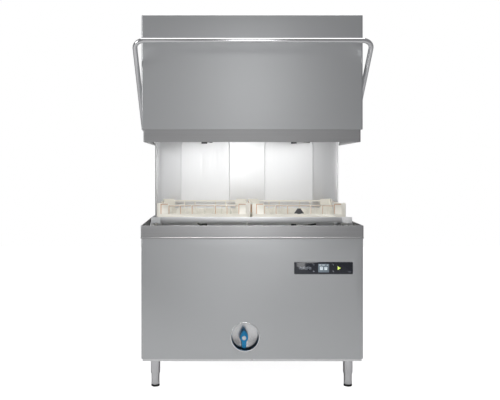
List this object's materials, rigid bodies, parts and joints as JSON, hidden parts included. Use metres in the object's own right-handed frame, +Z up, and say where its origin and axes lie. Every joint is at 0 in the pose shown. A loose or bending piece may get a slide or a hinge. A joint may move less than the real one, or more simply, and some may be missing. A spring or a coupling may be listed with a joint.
{
  "type": "commercial dishwasher",
  "caption": "Hood-type pass-through dishwasher with a raised double-width hood, wraparound lift handle, rack track, spray arms and adjustable feet.",
  "frame": {"origin": "on the floor, under the middle of the whole machine with its hood raised", "axes": "+X to the machine's right as seen from the front, +Y to the back, +Z up"},
  "size_m": [1.225, 0.9024, 1.945],
  "materials": {
    "cabinet_steel": "fine horizontal brushing",
    "rim_steel": "fine horizontal brushing",
    "tank_steel": "bright satin sheet",
    "hood_steel": "fine horizontal brushing",
    "polished_steel": "polished stainless",
    "pipe_steel": "satin tube",
    "spray_steel": "satin pressed tube",
    "dark_plastic": "moulded dark plastic",
    "pump_metal": "dark painted housing",
    "inlet_brass": "machined brass",
    "spring_black": "smooth black paint",
    "rack_plastic": "moulded cream plastic",
    "guide_plastic": "moulded grey plastic",
    "fascia_navy": "glossy dark panel",
    "display_glass": "grey-blue display window",
    "lever_blue": "moulded blue plastic, white cap",
    "start_yellow": "back-lit yellow-green mark",
    "key_grey": "pale mark on dark",
    "foot_steel": "polished leg with rubber pad"
  },
  "bodies": {
    "machine": {"base_frame": "cabinet_steel", "base_tray": "cabinet_steel", "front_panel": "cabinet_steel", "left_panel": "cabinet_steel", "right_panel": "cabinet_steel", "rear_panel": "cabinet_steel", "tank_rim": "rim_steel", "wash_tank": "tank_steel", "tank_sump": "tank_steel", "tank_filters": "tank_steel", "overflow_strainer": "dark_plastic", "heating_elements": "pipe_steel", "drain_cup": "polished_steel", "drain_valve": "dark_plastic", "drain_pipes": "dark_plastic", "wash_pumps": "pump_metal", "boiler": "tank_steel", "rinse_pump": "pump_metal", "lower_manifold": "pipe_steel", "upper_manifold": "pipe_steel", "rack_track": "pipe_steel", "rail_caps": "guide_plastic", "rear_wall": "tank_steel", "guide_posts": "cabinet_steel", "gas_cylinders": "spring_black", "control_fascia": "fascia_navy", "display": "display_glass", "control_box": "dark_plastic", "electrical_box": "cabinet_steel", "foot_tubes": "polished_steel", "water_inlet": "inlet_brass", "power_gland": "dark_plastic", "panel_screws": "polished_steel"},
    "hood": {"hood_shell": "hood_steel", "hood_liner": "tank_steel", "hood_carriage": "hood_steel", "slide_blocks": "guide_plastic", "handle": "polished_steel", "gas_rods": "polished_steel"},
    "drain_lever": {"drain_lever": "lever_blue", "valve_stem": "polished_steel"},
    "start_key": {"start_key": "start_yellow"},
    "menu_key_1": {"menu_key_1": "key_grey"},
    "menu_key_2": {"menu_key_2": "key_grey"},
    "menu_key_3": {"menu_key_3": "key_grey"},
    "menu_key_4": {"menu_key_4": "key_grey"},
    "lower_wash_arm_left": {"lower_wash_arm_left": "spray_steel"},
    "lower_wash_arm_right": {"lower_wash_arm_right": "spray_steel"},
    "lower_rinse_arm_left": {"lower_rinse_arm_left": "dark_plastic"},
    "lower_rinse_arm_right": {"lower_rinse_arm_right": "dark_plastic"},
    "upper_wash_arm_left": {"upper_wash_arm_left": "spray_steel"},
    "upper_wash_arm_right": {"upper_wash_arm_right": "spray_steel"},
    "upper_rinse_arm_left": {"upper_rinse_arm_left": "dark_plastic"},
    "upper_rinse_arm_right": {"upper_rinse_arm_right": "dark_plastic"},
    "rack_left": {"rack_left": "rack_plastic"},
    "rack_right": {"rack_right": "rack_plastic"},
    "foot_front_left": {"foot_front_left": "foot_steel"},
    "foot_front_right": {"foot_front_right": "foot_steel"},
    "foot_rear_left": {"foot_rear_left": "foot_steel"},
    "foot_rear_right": {"foot_rear_right": "foot_steel"}
  },
  "joints": [
    {"name": "hood_lift", "type": "slide", "parent": "machine", "child": "hood", "axis": [0, 0, 1], "range_m": [-0.49, 0]},
    {"name": "drain_lever_turn", "type": "hinge", "parent": "machine", "child": "drain_lever", "pos_m": [-0.041, -0.29225, 0.259], "axis": [0, 1, 0], "range_deg": [0, 90]},
    {"name": "start_key_press", "type": "slide", "parent": "machine", "child": "start_key", "axis": [0, 1, 0], "range_m": [0, 0.001], "stiffness_N_per_m": 400},
    {"name": "menu_key_1_press", "type": "slide", "parent": "machine", "child": "menu_key_1", "axis": [0, 1, 0], "range_m": [0, 0.001], "stiffness_N_per_m": 400},
    {"name": "menu_key_2_press", "type": "slide", "parent": "machine", "child": "menu_key_2", "axis": [0, 1, 0], "range_m": [0, 0.001], "stiffness_N_per_m": 400},
    {"name": "menu_key_3_press", "type": "slide", "parent": "machine", "child": "menu_key_3", "axis": [0, 1, 0], "range_m": [0, 0.001], "stiffness_N_per_m": 400},
    {"name": "menu_key_4_press", "type": "slide", "parent": "machine", "child": "menu_key_4", "axis": [0, 1, 0], "range_m": [0, 0.001], "stiffness_N_per_m": 400},
    {"name": "lower_wash_arm_left_spin", "type": "hinge", "parent": "machine", "child": "lower_wash_arm_left", "pos_m": [-0.255, 0.02325, 0.795], "axis": [0, 0, 1], "continuous": true},
    {"name": "lower_wash_arm_right_spin", "type": "hinge", "parent": "machine", "child": "lower_wash_arm_right", "pos_m": [0.255, 0.02325, 0.795], "axis": [0, 0, 1], "continuous": true},
    {"name": "lower_rinse_arm_left_spin", "type": "hinge", "parent": "machine", "child": "lower_rinse_arm_left", "pos_m": [-0.255, 0.02325, 0.795], "axis": [0, 0, 1], "continuous": true},
    {"name": "lower_rinse_arm_right_spin", "type": "hinge", "parent": "machine", "child": "lower_rinse_arm_right", "pos_m": [0.255, 0.02325, 0.795], "axis": [0, 0, 1], "continuous": true},
    {"name": "upper_wash_arm_left_spin", "type": "hinge", "parent": "machine", "child": "upper_wash_arm_left", "pos_m": [-0.255, 0.02325, 1.323], "axis": [0, 0, 1], "continuous": true},
    {"name": "upper_wash_arm_right_spin", "type": "hinge", "parent": "machine", "child": "upper_wash_arm_right", "pos_m": [0.255, 0.02325, 1.323], "axis": [0, 0, 1], "continuous": true},
    {"name": "upper_rinse_arm_left_spin", "type": "hinge", "parent": "machine", "child": "upper_rinse_arm_left", "pos_m": [-0.255, 0.02325, 1.323], "axis": [0, 0, 1], "continuous": true},
    {"name": "upper_rinse_arm_right_spin", "type": "hinge", "parent": "machine", "child": "upper_rinse_arm_right", "pos_m": [0.255, 0.02325, 1.323], "axis": [0, 0, 1], "continuous": true},
    {"name": "rack_left_slide", "type": "slide", "parent": "machine", "child": "rack_left", "axis": [-1, 0, 0], "range_m": [0, 0.55]},
    {"name": "rack_right_slide", "type": "slide", "parent": "machine", "child": "rack_right", "axis": [1, 0, 0], "range_m": [0, 0.55]},
    {"name": "foot_front_left_screw", "type": "slide", "parent": "machine", "child": "foot_front_left", "axis": [0, 0, -1], "range_m": [0, 0.03]},
    {"name": "foot_front_right_screw", "type": "slide", "parent": "machine", "child": "foot_front_right", "axis": [0, 0, -1], "range_m": [0, 0.03]},
    {"name": "foot_rear_left_screw", "type": "slide", "parent": "machine", "child": "foot_rear_left", "axis": [0, 0, -1], "range_m": [0, 0.03]},
    {"name": "foot_rear_right_screw", "type": "slide", "parent": "machine", "child": "foot_rear_right", "axis": [0, 0, -1], "range_m": [0, 0.03]}
  ]
}
